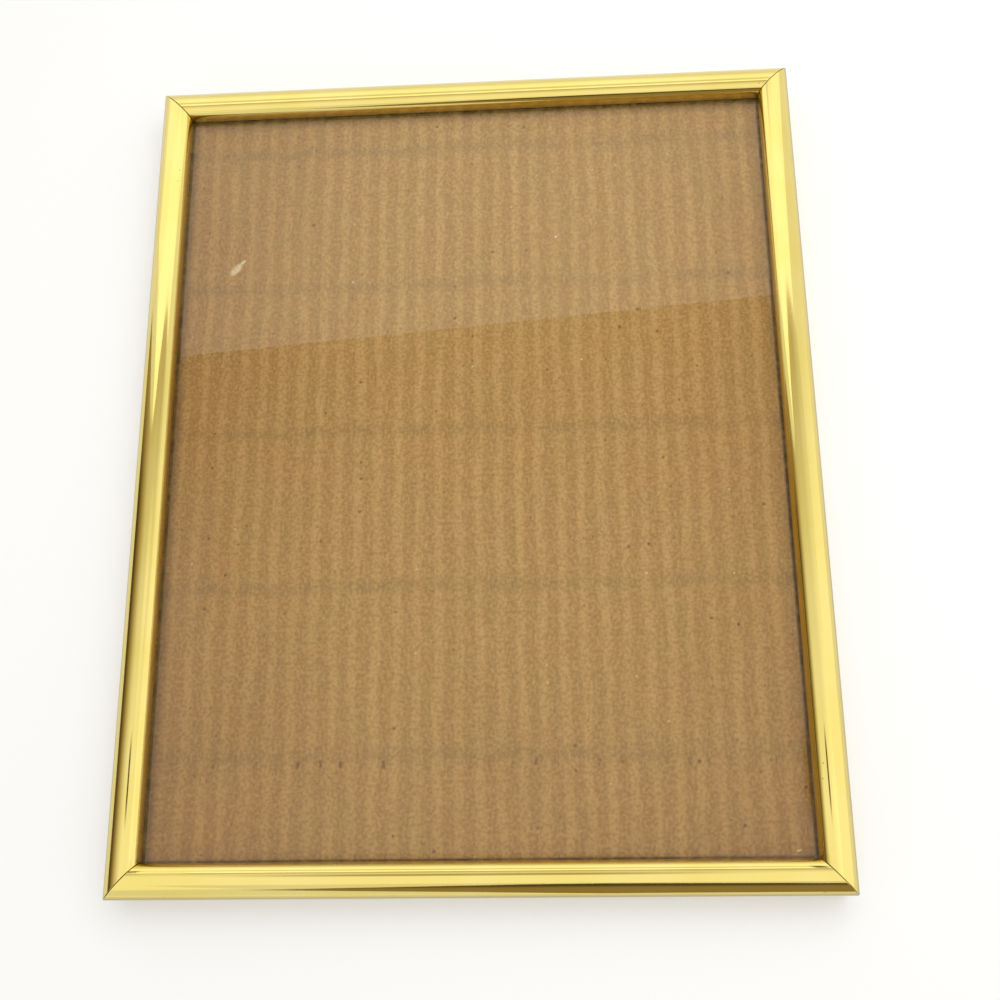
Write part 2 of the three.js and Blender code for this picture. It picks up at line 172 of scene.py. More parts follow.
# Plated steel: pale and dark tint, and roughness
NICKEL = ((0.6, 0.575, 0.53, 1), (0.46, 0.44, 0.405, 1), 0.16)
ZINC = ((0.5, 0.51, 0.53, 1), (0.36, 0.37, 0.39, 1), 0.3)
DULL_SPOT = (0.3, 0.28, 0.25, 1)

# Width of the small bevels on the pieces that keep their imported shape
BOARD_BEVEL = 0.25 * MM
ZINC_BEVEL = 0.15 * MM
NICKEL_BEVEL = 0.12 * MM

# Rivets in millimetres: radius and height of the head's points from its rear middle outwards,
# then the shank and the flange
RIVET_HEAD = [
    (0, 0.3), (0.6, 0.3), (0.85, 0.23), (1.02, 0.07), (1.25, 0.0), (1.6, 0.03),
    (2.0, 0.13), (2.32, 0.31), (2.48, 0.5), (2.4, 0.6),
]
RIVET_SHANK = 1.4
RIVET_FLANGE = 2.2
FLANGE_THICKNESS = 0.5
RIVET_SIDES = 40

# Bare floor round the frame
CORNER_WAYS = [(-1, -1), (1, -1), (1, 1), (-1, 1)]
FLOOR_COLOUR = (0.77, 0.77, 0.765, 1)
FLOOR_REACH = 4.0
FLOOR_HEM = 0.3 * MM
FLOOR_DROP = 0.05 * MM
FLOOR_LIFT = 0.25
FAR_LIFT = 0.8

# Studio cards that the polished rails and the glass mirror, as corners in metres
WINDOW_Y = 0.9
WINDOW_CARD = [(-1.7, WINDOW_Y, 0.02), (1.4, WINDOW_Y, 0.02), (1.4, WINDOW_Y, 2.3), (-1.7, WINDOW_Y, 2.3)]
SIDE_CARD = [(1.1, -0.9, 0.06), (1.1, 0.9, 0.06), (1.1, 0.9, 1.7), (1.1, -0.9, 1.7)]
CEILING_HEIGHT = 1.0
CEILING_NEAR = -0.9
CEILING_EDGE = 0.492
CEILING_SLANT = 0.076
CEILING_LEFT = -0.55
CEILING_RIGHT = 0.9
WARM_CARD = [
    (0.8, -0.75, 0.01), (0.05, -0.75, 0.01), (-0.05, -0.75, 0.14), (-0.15, -0.75, 0.24),
    (-0.26, -0.75, 0.36), (-0.15, -0.75, 0.5), (-0.02, -0.75, 0.67), (0.08, -0.75, 0.73),
    (0.2, -0.75, 0.67), (0.35, -0.75, 0.57), (0.8, -0.75, 0.52),
]
COVE_DEPTH = 0.45
COVE_NEAR = -1.6
COVE_STEPS = 24
COVE_NOTCH = 0.09
UNDER_DEPTH = 0.8
UNDER_REACH = 3.0
DULL_CARD = (1.0, 0.74, 0.38, 1)
PALE_CARD = (1.0, 0.985, 0.93, 1)

# Thin strips that hang close above the rails: middle, half sizes along X and Y, and how bright they are.
# A surface mirrors them in full up to the near distance, and not at all from the far one on.
STRIP_HEIGHT = 0.038
STRIP_NEAR = 0.03
STRIP_FAR = 0.042
STRIPS = {
    "left_gleam": ((-0.096, -0.065), (0.0105, 0.072), 1.25),
    "crest_strip": ((0.0, -0.1237), (0.094, 0.0042), 0.6),
    "left_strip": ((-0.1075, -0.0975), (0.0036, 0.0165), 0.15),
    "right_strip": ((0.1009, -0.0975), (0.0032, 0.0165), 0.15),
}

# Room light away from and on its bright side, and one soft square lamp
ROOM_DULL = (0.64, 0.635, 0.622, 1)
ROOM_BRIGHT = (0.745, 0.745, 0.735, 1)
BRIGHT_SIDE = Vector((0.55, 0.75, 0.35)).normalized()
LAMP_PLACE = Vector((0.12, 0.1, 0.55))
LAMP_SIZE = 0.5
LAMP_POWER = 1.4
LAMP_COLOUR = (1.0, 0.985, 0.96)

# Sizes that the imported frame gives
outer_low, outer_high = cad_box
OUTER_WIDTH = outer_high.x - outer_low.x
OUTER_HEIGHT = outer_high.y - outer_low.y
CREST = outer_high.z
left_low, left_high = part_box("rail_left")
FACE = left_high.x - left_low.x
GLASS_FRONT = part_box("glass_pane")[1].z
SEAT = GLASS_FRONT + SEAT_GAP
ARRIS = CREST - CROWN_RISE
CREST_INSET = FACE - ROLL_RADIUS
CROWN_RADIUS = (CREST_INSET**2 + CROWN_RISE**2) / (2 * CROWN_RISE)


def arc(centre, radius, start, end, steps):
    angles = np.linspace(start, end, steps + 1)
    return [(centre[0] + radius * math.cos(a), centre[1] + radius * math.sin(a)) for a in angles]


def eased(points, rounds, steps=4):
    """A closed outline whose corners in rounds, a dict of index to radius, become small curves."""
    made = []
    for i, point in enumerate(points):
        corner = Vector(point)
        if i not in rounds:
            made.append(corner)
            continue
        before = (Vector(points[i - 1]) - corner).normalized()
        after = (Vector(points[(i + 1) % len(points)]) - corner).normalized()
        reach = rounds[i] / math.tan(before.angle(after) / 2)
        for s in np.linspace(0, 1, steps + 1):
            made.append(corner + before * reach * (1 - s) ** 2 + after * reach * s**2)
    return made


def rail_outline():
    """Outer line of a rail's section as (inset from the outer face, height), against the clock."""
    hem = WALL + HEM_DEPTH
    lines = [(0, 0), (hem, 0), (hem, HEM_THICKNESS), (WALL, HEM_THICKNESS), (WALL, SEAT), (FACE, SEAT)]
    roll = arc((CREST_INSET, CREST - ROLL_RADIUS), ROLL_RADIUS, 0, math.pi / 2, ROLL_STEPS)
    tilt = math.asin(CREST_INSET / CROWN_RADIUS)
    centre = (CREST_INSET, CREST - CROWN_RADIUS)
    crown = arc(centre, CROWN_RADIUS, math.pi / 2, math.pi / 2 + tilt, CROWN_STEPS)
    points = lines + roll + crown[1:]
    rounds = {0: EDGE_ROUND, 1: EDGE_ROUND, 2: EDGE_ROUND, 5: EDGE_ROUND, len(points) - 1: ARRIS_ROUND}
    return eased(points, rounds)


def rail_cavity():
    """The hollow inside the bead, with the clock."""
    floor = SEAT + SEAT_WEB
    radius = CROWN_RADIUS - BEAD_WALL
    tilt = math.asin((CREST_INSET - WALL) / radius)
    roll_centre = (CREST_INSET, CREST - ROLL_RADIUS)
    crown_centre = (CREST_INSET, CREST - CROWN_RADIUS)
    points = [(WALL, floor), (FACE - BEAD_WALL, floor)]
    points += arc(roll_centre, ROLL_RADIUS - BEAD_WALL, 0, math.pi / 2, ROLL_STEPS // 2)
    points += arc(crown_centre, radius, math.pi / 2, math.pi / 2 + tilt, CROWN_STEPS // 2)[1:]
    return [Vector(p) for p in reversed(points)]


def outward(outline):
    """Unit normals of a closed outline drawn against the clock."""
    normals = []
    for i, point in enumerate(outline):
        along = (outline[(i + 1) % len(outline)] - outline[i - 1]).normalized()
        normals.append(Vector((along.y, -along.x)))
    return normals


def new_object(name, vertices, faces):
    mesh = bpy.data.meshes.new(name)
    mesh.from_pydata([tuple(v) for v in vertices], [], faces)
    mesh.validate()
    obj = bpy.data.objects.new(name, mesh)
    bpy.context.scene.collection.objects.link(obj)
    return obj


def face_outward(obj, sharp=30):
    """Turns every face of a closed mesh outwards and shades it smooth up to the sharp angle."""
    work = bmesh.new()
    work.from_mesh(obj.data)
    bmesh.ops.recalc_face_normals(work, faces=work.faces)
    work.to_mesh(obj.data)
    work.free()
    obj.data.shade_smooth()
    obj.data.set_sharp_from_angle(angle=math.radians(sharp))
    return obj


def bead_rail(name, length, at, turn):
    """A hollow bead rail along X, mitred at both ends, with its outer face on y = 0 before it is placed."""
    outline, hollow = rail_outline(), rail_cavity()
    normals = outward(outline)
    setback = MITRE_GAP / 2 / math.cos(math.pi / 4)
    ease = 2 * MITRE_EASE / length
    steps = np.linspace(-1 + 8 * ease, 1 - 8 * ease, RAIL_STATIONS)
    shares = [-1, -1 + ease, -1 + 2 * ease, -1 + 3 * ease, *steps, 1 - 3 * ease, 1 - 2 * ease, 1 - ease, 1]
    around, inside = len(outline), len(hollow)
    ring = around + inside
    girth = np.cumsum([0] + [(outline[(i + 1) % around] - outline[i]).length for i in range(around)])
    vertices, rub, side = [], [], []
    for share in shares:
        tucked = MITRE_EASE * (abs(share) == 1) + MITRE_EASE / 4 * (abs(share) == 1 - ease)
        for point, normal in zip(outline, normals):
            inset, height = point - normal * tucked
            reach = length / 2 - inset - setback
            vertices.append((share * reach, inset, height))
            to_mitre = (1 - abs(share)) * reach
            to_arris = (point - Vector((0, ARRIS))).length
            rub.append(math.exp(-(to_mitre + to_arris) / TIP_WEAR))
            side.append(float(np.clip(2 - point.x / SIDE_BAND, 0, 1) * (point.y > HEM_THICKNESS)))
        for inset, height in hollow:
            vertices.append((share * (length / 2 - inset - setback), inset, height))
            rub.append(0)
            side.append(0)
    faces = []
    for station in range(len(shares) - 1):
        for first, count in ((0, around), (around, inside)):
            for i in range(count):
                near = station * ring + first
                far = near + ring
                j = (i + 1) % count
                faces.append((near + i, far + i, far + j, near + j))
    for station in (0, len(shares) - 1):
        start = station * ring
        loops = [vertices[start : start + around], vertices[start + around : start + ring]]
        flat = [[Vector((v[1], v[2], 0)) for v in loop] for loop in loops]
        faces += [tuple(start + k for k in triangle) for triangle in tessellate_polygon(flat)]
    obj = new_object(name, vertices, faces)
    for label, values in (("rub", rub), ("side", side)):
        obj.data.attributes.new(label, "FLOAT", "POINT").data.foreach_set("value", values)
    layer = obj.data.uv_layers.new(name="along_and_around")
    for polygon in obj.data.polygons:
        spots = [obj.data.loops[k].vertex_index % ring for k in polygon.loop_indices]
        wraps = around - 1 in spots and 0 in spots
        for k, spot in zip(polygon.loop_indices, spots):
            vertex = vertices[obj.data.loops[k].vertex_index]
            across = girth[around if wraps and spot == 0 else min(spot, around)]
            layer.data[k].uv = (vertex[0], across)
    face_outward(obj)
    obj.data.transform(Matrix.Translation(at) @ Matrix.Rotation(turn, 4, "Z"))
    return obj


def slab(name, xs, ys, lower, upper):
    """A closed sheet over a grid, between two arrays of heights indexed [y][x]."""
    nx, ny = len(xs), len(ys)
    gx, gy = np.meshgrid(xs, ys)
    top = np.stack([gx, gy, upper], -1).reshape(-1, 3)
    bottom = np.stack([gx, gy, lower], -1).reshape(-1, 3)
    under = nx * ny
    grid = np.arange(under).reshape(ny, nx)
    faces = []
    for a, b, c, d in zip(grid[:-1, :-1].flat, grid[:-1, 1:].flat, grid[1:, 1:].flat, grid[1:, :-1].flat):
        faces.append((a, b, c, d))
        faces.append((under + d, under + c, under + b, under + a))
    rim = [*grid[0], *grid[1:, -1], *grid[-1, -2::-1], *grid[-2:0:-1, 0]]
    for a, b in zip(rim, rim[1:] + rim[:1]):
        faces.append((a, under + a, under + b, b))
    return face_outward(new_object(name, [*top, *bottom], faces))


def turned(name, profile, at):
    """A round piece turned from (radius, height) points that start and end on its axis."""
    angles = np.linspace(0, 2 * math.pi, RIVET_SIDES, endpoint=False)
    vertices = [(0, 0, profile[0][1])]
    for radius, height in profile[1:-1]:
        vertices += [(radius * math.cos(a), radius * math.sin(a), height) for a in angles]
    vertices.append((0, 0, profile[-1][1]))
    faces = []
    for k in range(RIVET_SIDES):
        turn = (k + 1) % RIVET_SIDES
        faces.append((0, 1 + turn, 1 + k))
        for ring in range(len(profile) - 3):
            near = 1 + ring * RIVET_SIDES
            far = near + RIVET_SIDES
            faces.append((near + k, near + turn, far + turn, far + k))
        last = 1 + (len(profile) - 3) * RIVET_SIDES
        faces.append((last + k, last + turn, len(vertices) - 1))
    obj = face_outward(new_object(name, vertices, faces), sharp=50)
    obj.data.transform(Matrix.Translation(at))
    return obj


def corrugated_board():
    """Front liner with its washboard and creases, the fluted medium and the rear liner."""
    low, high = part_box("corrugated_filler")
    xs = np.linspace(low.x, high.x, LINER_COLUMNS)
    ys = np.linspace(low.y, high.y, LINER_ROWS)
    gx, gy = np.meshgrid(xs, ys)
    wave = np.cos(2 * np.pi * (gx - FLUTE_OFFSET) / FLUTE_PITCH)
    crease = sum(np.exp(-(((gy - y) / CREASE_WIDTH) ** 2)) for y in CREASE_HEIGHTS)
    swell = 0.75 + 0.25 * np.sin(gx / 0.031 + 2.1 * np.sin(gy / 0.043)) * np.cos(gy / 0.037 + gx / 0.058)
    valley = WASHBOARD_DEPTH * (0.5 - 0.5 * wave) * swell * (1 - 0.5 * np.clip(crease, 0, 1))
    front = high.z - valley - CREASE_DEPTH * crease * (0.5 - 0.5 * wave)
    liner = slab("board_front_liner", xs, ys, front - LINER, front)
    ends = np.array([low.y, high.y])
    gx = np.meshgrid(xs, ends)[0]
    middle = (low.z + high.z) / 2
    swing = (high.z - low.z) / 2 - LINER - MEDIUM / 2
    line = middle + swing * np.cos(2 * np.pi * (gx - FLUTE_OFFSET) / FLUTE_PITCH)
    medium = slab("board_fluted_medium", xs, ends, line - MEDIUM / 2, line + MEDIUM / 2)
    flat = np.full((2, 2), low.z)
    rear = slab("board_rear_liner", np.array([low.x, high.x]), ends, flat, flat + LINER)
    return liner, medium, rear


# Shader building
def plug(tree, value, socket):
    if isinstance(value, bpy.types.NodeSocket):
        tree.links.new(value, socket)
    else:
        socket.default_value = value


def node(tree, kind, settings=None, **inputs):
    made = tree.nodes.new("ShaderNode" + kind)
    for name, value in (settings or {}).items():
        setattr(made, name, value)
    for name, value in inputs.items():
        plug(tree, value, made.inputs[name.replace("_", " ")])
    return made


def calc(tree, operation, *values):
    made = node(tree, "Math", {"operation": operation})
    for i, value in enumerate(values):
        plug(tree, value, made.inputs[i])
    return made.outputs[0]


def remap(tree, value, low, high, to_low=0.0, to_high=1.0, kind="SMOOTHSTEP"):
    made = node(tree, "MapRange", {"interpolation_type": kind})
    names = ("Value", "From Min", "From Max", "To Min", "To Max")
    for name, given in zip(names, (value, low, high, to_low, to_high)):
        plug(tree, given, made.inputs[name])
    return made.outputs["Result"]


def away(tree, value, middle):
    """How far a value lies from a middle one, on either side."""
    return calc(tree, "ABSOLUTE", calc(tree, "SUBTRACT", value, middle))


def blend_colours(tree, share, first, second, how="MIX"):
    made = node(tree, "Mix", {"data_type": "RGBA", "blend_type": how})
    plug(tree, share, made.inputs[0])
    plug(tree, first, made.inputs[6])
    plug(tree, second, made.inputs[7])
    return made.outputs[2]


def stretch(tree, vector, scale):
    made = node(tree, "VectorMath", {"operation": "MULTIPLY"})
    plug(tree, vector, made.inputs[0])
    plug(tree, scale, made.inputs[1])
    return made.outputs[0]


def noise(tree, vector, scale, detail=2.0, rough=0.5):
    made = node(tree, "TexNoise", Vector=vector, Scale=scale, Detail=detail, Roughness=rough)
    return made.outputs["Fac"]


def on_object(tree):
    """The place on the object, as a vector and as its three axes."""
    spot = node(tree, "TexCoord").outputs["Object"]
    return spot, node(tree, "SeparateXYZ", Vector=spot).outputs


def seen_rays(tree):
    """1 for rays that show a thing to the camera, straight or by way of metal and glass."""
    path = node(tree, "LightPath").outputs
    mirrored = calc(tree, "MAXIMUM", path["Is Glossy Ray"], path["Is Transmission Ray"])
    return calc(tree, "MAXIMUM", path["Is Camera Ray"], mirrored)


def surface_of_two(tree, share, first, second):
    """A material's surface: the first shader, and the second where share is 1."""
    mixed = node(tree, "MixShader")
    for i, value in enumerate((share, first.outputs[0], second.outputs[0])):
        plug(tree, value, mixed.inputs[i])
    plug(tree, mixed.outputs[0], tree.nodes["Material Output"].inputs["Surface"])


def effect(name, inputs, outputs):
    """An empty node group with named inputs and outputs, and its two end nodes."""
    group = bpy.data.node_groups.new(name, "ShaderNodeTree")
    for label, kind, default in inputs:
        socket = group.interface.new_socket(label, in_out="INPUT", socket_type="NodeSocket" + kind)
        if default is not None:
            socket.default_value = default
    for label, kind in outputs:
        group.interface.new_socket(label, in_out="OUTPUT", socket_type="NodeSocket" + kind)
    return group, group.nodes.new("NodeGroupInput"), group.nodes.new("NodeGroupOutput")


def place(tree, group, **inputs):
    made = tree.nodes.new("ShaderNodeGroup")
    made.node_tree = group
    for name, value in inputs.items():
        plug(tree, value, made.inputs[name.replace("_", " ")])
    return made


def specks_effect():
    """Scattered round specks: a share of the cells hold one, of varied size."""
    group, given, out = effect(
        "specks",
        [
            ("Vector", "Vector", None),
            ("Scale", "Float", 400.0),
            ("Share", "Float", 0.1),
            ("Size", "Float", 0.2),
        ],
        [("Mask", "Float")],
    )
    cells = node(
        group,
        "TexVoronoi",
        {"voronoi_dimensions": "2D"},
        Vector=given.outputs["Vector"],
        Scale=given.outputs["Scale"],
    )
    pick = node(group, "SeparateColor", Color=cells.outputs["Color"])
    chosen = calc(group, "LESS_THAN", pick.outputs[0], given.outputs["Share"])
    varied = remap(group, pick.outputs[1], 0, 1, 0.4, 1.3, "LINEAR")
    size = calc(group, "MULTIPLY", given.outputs["Size"], varied)
    inside = remap(group, cells.outputs["Distance"], size, calc(group, "MULTIPLY", size, 0.6))
    plug(group, calc(group, "MULTIPLY", inside, chosen), out.inputs["Mask"])
    return group


def streaks_effect():
    """Fine lines along one direction, as drawing, brushing or paper fibres leave."""
    group, given, out = effect(
        "streaks",
        [("Vector", "Vector", None), ("Stretch", "Vector", (1, 1, 1)), ("Detail", "Float", 3.0)],
        [("Value", "Float")],
    )
    along = stretch(group, given.outputs["Vector"], given.outputs["Stretch"])
    lines = node(group, "TexNoise", Vector=along, Scale=1.0, Detail=given.outputs["Detail"])
    plug(group, lines.outputs["Fac"], out.inputs["Value"])
    return group


def hairlines_effect():
    """Stray hair scratches: thin ridges of a stretched noise, broken up by a second one."""
    group, given, out = effect(
        "hairlines",
        [
            ("Vector", "Vector", None),
            ("Stretch", "Vector", (1, 1, 1)),
            ("Width", "Float", 0.01),
            ("Cover", "Float", 0.5),
        ],
        [("Mask", "Float")],
    )
    along = stretch(group, given.outputs["Vector"], given.outputs["Stretch"])
    field = noise(group, along, 1.0, 1.0)
    ridge = away(group, field, 0.5)
    line = remap(group, ridge, given.outputs["Width"], 0.0)
    patch = noise(group, along, 0.37, 1.0)
    kept = remap(group, patch, given.outputs["Cover"], calc(group, "ADD", given.outputs["Cover"], 0.06))
    plug(group, calc(group, "MULTIPLY", line, kept), out.inputs["Mask"])
    return group


SPECKS = specks_effect()
STREAKS = streaks_effect()
HAIRLINES = hairlines_effect()


def new_material(name):
    material = bpy.data.materials.new(name)
    material.use_nodes = True
    tree = material.node_tree
    return material, tree, tree.nodes["Principled BSDF"]


def bump(tree, height, depth, strength=1.0, under=None):
    made = node(tree, "Bump", Height=height, Distance=depth, Strength=strength)
    if under is not None:
        plug(tree, under, made.inputs["Normal"])
    return made.outputs["Normal"]


def gold_anodised():
    """Polished gold anodised aluminium with satin outer sides, rubbed to bare metal at the corner tips. The
    sides' darker tint is painted shade: the shadowed floor that they mirror.
    """
    material, tree, shader = new_material("gold_anodised")
    spot = node(tree, "UVMap", {"uv_map": "along_and_around"}).outputs["UV"]
    drawn = place(tree, STREAKS, Vector=spot, Stretch=(60, 5200, 1), Detail=3.0).outputs["Value"]
    ripple = noise(tree, stretch(tree, spot, (14, 300, 1)), 1.0, 1.0)
    haze = noise(tree, spot, 45.0, 3.0)
    scratch = place(tree, HAIRLINES, Vector=spot, Stretch=(70, 420, 1), Width=0.006, Cover=0.6)
    scratch = scratch.outputs["Mask"]
    pits = place(tree, SPECKS, Vector=spot, Scale=240.0, Share=0.03, Size=0.07).outputs["Mask"]
    tint = blend_colours(tree, remap(tree, haze, 0.3, 0.7), GOLD_DEEP, GOLD_PALE)
    tint = blend_colours(tree, calc(tree, "MULTIPLY", pits, 0.6), tint, PIT_COLOUR)
    rub = node(tree, "Attribute", {"attribute_name": "rub"}).outputs["Fac"]
    ragged = calc(tree, "ADD", rub, remap(tree, noise(tree, spot, 2500.0), 0.2, 0.8, -0.16, 0.16, "LINEAR"))
    tint = blend_colours(tree, remap(tree, ragged, 0.4, 0.55), tint, BARE_METAL)
    side = node(tree, "Attribute", {"attribute_name": "side"}).outputs["Fac"]
    # Satin outer sides: rougher, and with a darker tint that is painted shade for the shadowed floor they
    # mirror
    dull = calc(tree, "MULTIPLY", side, remap(tree, drawn, 0.3, 0.7, 0.7, 1.0))
    tint = blend_colours(tree, dull, tint, SATIN_AND_SHADED_SIDE)
    plug(tree, tint, shader.inputs["Base Color"])
    shader.inputs["Metallic"].default_value = 1.0
    gloss = remap(tree, drawn, 0.3, 0.7, 0.05, 0.09)
    gloss = calc(tree, "ADD", gloss, calc(tree, "MULTIPLY", scratch, 0.15))
    gloss = calc(tree, "ADD", gloss, calc(tree, "MULTIPLY", dull, 0.22))
    plug(tree, calc(tree, "ADD", gloss, remap(tree, haze, 0.45, 0.8, 0.0, 0.04)), shader.inputs["Roughness"])
    normal = bump(tree, ripple, 0.014 * MM)
    normal = bump(tree, drawn, 0.0005 * MM, under=normal)
    normal = bump(tree, calc(tree, "ADD", scratch, pits), -0.003 * MM, under=normal)
    plug(tree, normal, shader.inputs["Normal"])
    return material


def clear_glass():
    """Picture glass with faint wiping marks. Light for what lies behind it passes straight through."""
    material, tree, shader = new_material("clear_glass")
    spot = node(tree, "TexCoord").outputs["Object"]
    wiped = place(tree, STREAKS, Vector=spot, Stretch=(30, 90, 30), Detail=2.0).outputs["Value"]
    dust = place(tree, SPECKS, Vector=spot, Scale=260.0, Share=0.05, Size=0.07).outputs["Mask"]
    smear = remap(tree, wiped, 0.5, 0.85, 0.0, 0.02)
    plug(tree, calc(tree, "ADD", smear, calc(tree, "MULTIPLY", dust, 0.2)), shader.inputs["Roughness"])
    shader.inputs["Base Color"].default_value = GLASS_TINT
    shader.inputs["IOR"].default_value = 1.5
    shader.inputs["Specular IOR Level"].default_value = 0.5
    shader.inputs["Transmission Weight"].default_value = 1.0
    path = node(tree, "LightPath").outputs
    lighting = calc(tree, "MAXIMUM", path["Is Shadow Ray"], path["Is Diffuse Ray"])
    passing = calc(tree, "MAXIMUM", lighting, node(tree, "NewGeometry").outputs["Backfacing"])
    surface_of_two(tree, passing, shader, node(tree, "BsdfTransparent", Color=GLASS_PASSING))
    return material


def mark(tree, spot, at, size, turn=0.0, soft=0.35):
    """One oval mark on a sheet: its centre, its length and width, and its turn."""
    oval = node(tree, "Mapping", {"vector_type": "TEXTURE"}, Vector=spot)
    oval.inputs["Location"].default_value = (at[0], at[1], 0)
    oval.inputs["Rotation"].default_value = (0, 0, turn)
    oval.inputs["Scale"].default_value = (size[0] / 2, size[1] / 2, 1)
    flat = stretch(tree, oval.outputs["Vector"], (1, 1, 0))
    far = node(tree, "VectorMath", {"operation": "LENGTH"})
    plug(tree, flat, far.inputs[0])
    return remap(tree, far.outputs["Value"], 1.0, soft)


def flute_tone_and_highlight(tree, spot, axes, tint):
    """Soft light stripes where the flutes press through, wavy and uneven along their length: partly
    glue-line tone, partly a painted highlight on the washboard ridges.
    """
    across = calc(tree, "DIVIDE", calc(tree, "SUBTRACT", axes[0], FLUTE_OFFSET), FLUTE_PITCH)
    drift = noise(tree, stretch(tree, spot, (75, 42, 1)), 1.0, 2.0)
    ragged = noise(tree, stretch(tree, spot, (420, 190, 1)), 1.0, 2.0)
    ragged = remap(tree, ragged, 0, 1, -0.07, 0.07, "LINEAR")
    wobble = calc(tree, "ADD", ragged, remap(tree, drift, 0, 1, -0.3, 0.3, "LINEAR"))
    wave = calc(tree, "COSINE", calc(tree, "MULTIPLY", calc(tree, "ADD", across, wobble), 2 * math.pi))
    patchy = remap(tree, noise(tree, stretch(tree, spot, (95, 34, 1)), 1.0, 3.0, 0.6), 0.3, 0.68, 0.5, 1.0)
    light = calc(tree, "MULTIPLY", remap(tree, wave, -0.45, 0.95), patchy)
    # Paler on the ridges: partly glue-line tone, partly a painted highlight that stands for the washboard's
    # shading
    tint = blend_colours(tree, calc(tree, "MULTIPLY", light, 0.86), tint, STRIPE_TONE_AND_HIGHLIGHT)
    return tint, calc(tree, "FLOOR", across), wave


def finger_lines(tree, spot, axes, tint, flute, wave):
    """Soft dirty lines across the flutes; the lowest one has short dark ticks under it."""
    sway = noise(tree, stretch(tree, spot, (38, 1, 1)), 1.0, 3.0, 0.6)
    bent = calc(tree, "ADD", axes[1], remap(tree, sway, 0, 1, -2.4 * MM, 2.4 * MM, "LINEAR"))
    uneven = remap(tree, noise(tree, stretch(tree, spot, (120, 60, 1)), 1.0, 3.0, 0.6), 0.34, 0.66, 0.3, 1.0)
    for y in CREASE_HEIGHTS:
        band = calc(tree, "MULTIPLY", remap(tree, away(tree, bent, y), 3.6 * MM, 0.4 * MM), uneven)
        tint = blend_colours(tree, calc(tree, "MULTIPLY", band, 0.52), tint, LINE_COLOUR)
    luck = node(tree, "TexWhiteNoise", {"noise_dimensions": "1D"}, W=flute).outputs["Value"]
    low = calc(tree, "ADD", TICK_HEIGHT, remap(tree, luck, 0, 1, -0.6 * MM, 0.6 * MM, "LINEAR"))
    tall = remap(tree, away(tree, axes[1], low), 1.5 * MM, 0.7 * MM)
    narrow = remap(tree, wave, -0.8, -0.93)
    ticks = calc(tree, "MULTIPLY", tall, narrow)
    second = calc(tree, "MULTIPLY", calc(tree, "FLOORED_MODULO", flute, 2.0), 0.45)
    dark = remap(tree, calc(tree, "ADD", luck, second), 0.35, 0.95, 0.08, 0.9)
    right = remap(tree, axes[0], 0.0, 45 * MM, 1.0, 0.55)
    ticks = calc(tree, "MULTIPLY", ticks, calc(tree, "MULTIPLY", dark, right))
    return blend_colours(tree, ticks, tint, SPECK_COLOUR)


def edge_painted_falloff(tree, spot, axes):
    """Painted light falloff: the board is darkened towards its edges, most along its left and lower ones."""
    left = remap(tree, axes[0], -20 * MM, -100 * MM, 0.0, 0.75)
    lower = remap(tree, axes[1], -30 * MM, -125 * MM, 0.0, 0.55)
    right = remap(tree, axes[0], 40 * MM, 100 * MM, 0.0, 0.4)
    most = calc(tree, "ADD", calc(tree, "MAXIMUM", left, right), lower)
    return calc(tree, "MULTIPLY", most, remap(tree, noise(tree, spot, 22.0), 0.3, 0.7, 0.7, 1.0))


def rail_painted_shade(tree, spot, axes):
    """Painted shade on the board along the rails: a thin dark line of painted shadow under their lips, with
    a soft veil of painted shadow by two of them.
    """
    inner_x, inner_y = OUTER_WIDTH / 2 - FACE, OUTER_HEIGHT / 2 - FACE
    reach_x = calc(tree, "SUBTRACT", inner_x, calc(tree, "ABSOLUTE", axes[0]))
    reach_y = calc(tree, "SUBTRACT", inner_y, calc(tree, "ABSOLUTE", axes[1]))
    line = remap(tree, calc(tree, "MINIMUM", reach_x, reach_y), 0.9 * MM, 0.1 * MM, 0.0, 0.95)
    from_left = calc(tree, "ADD", axes[0], inner_x)
    from_top = calc(tree, "SUBTRACT", inner_y, axes[1])
    veil = remap(tree, calc(tree, "MINIMUM", from_left, from_top), 4.5 * MM, 0.0, 0.0, 0.5)
    broken = remap(tree, noise(tree, spot, 350.0, 3.0), 0.3, 0.7, 0.6, 1.0)
    return calc(tree, "MULTIPLY", calc(tree, "MAXIMUM", line, veil), broken)


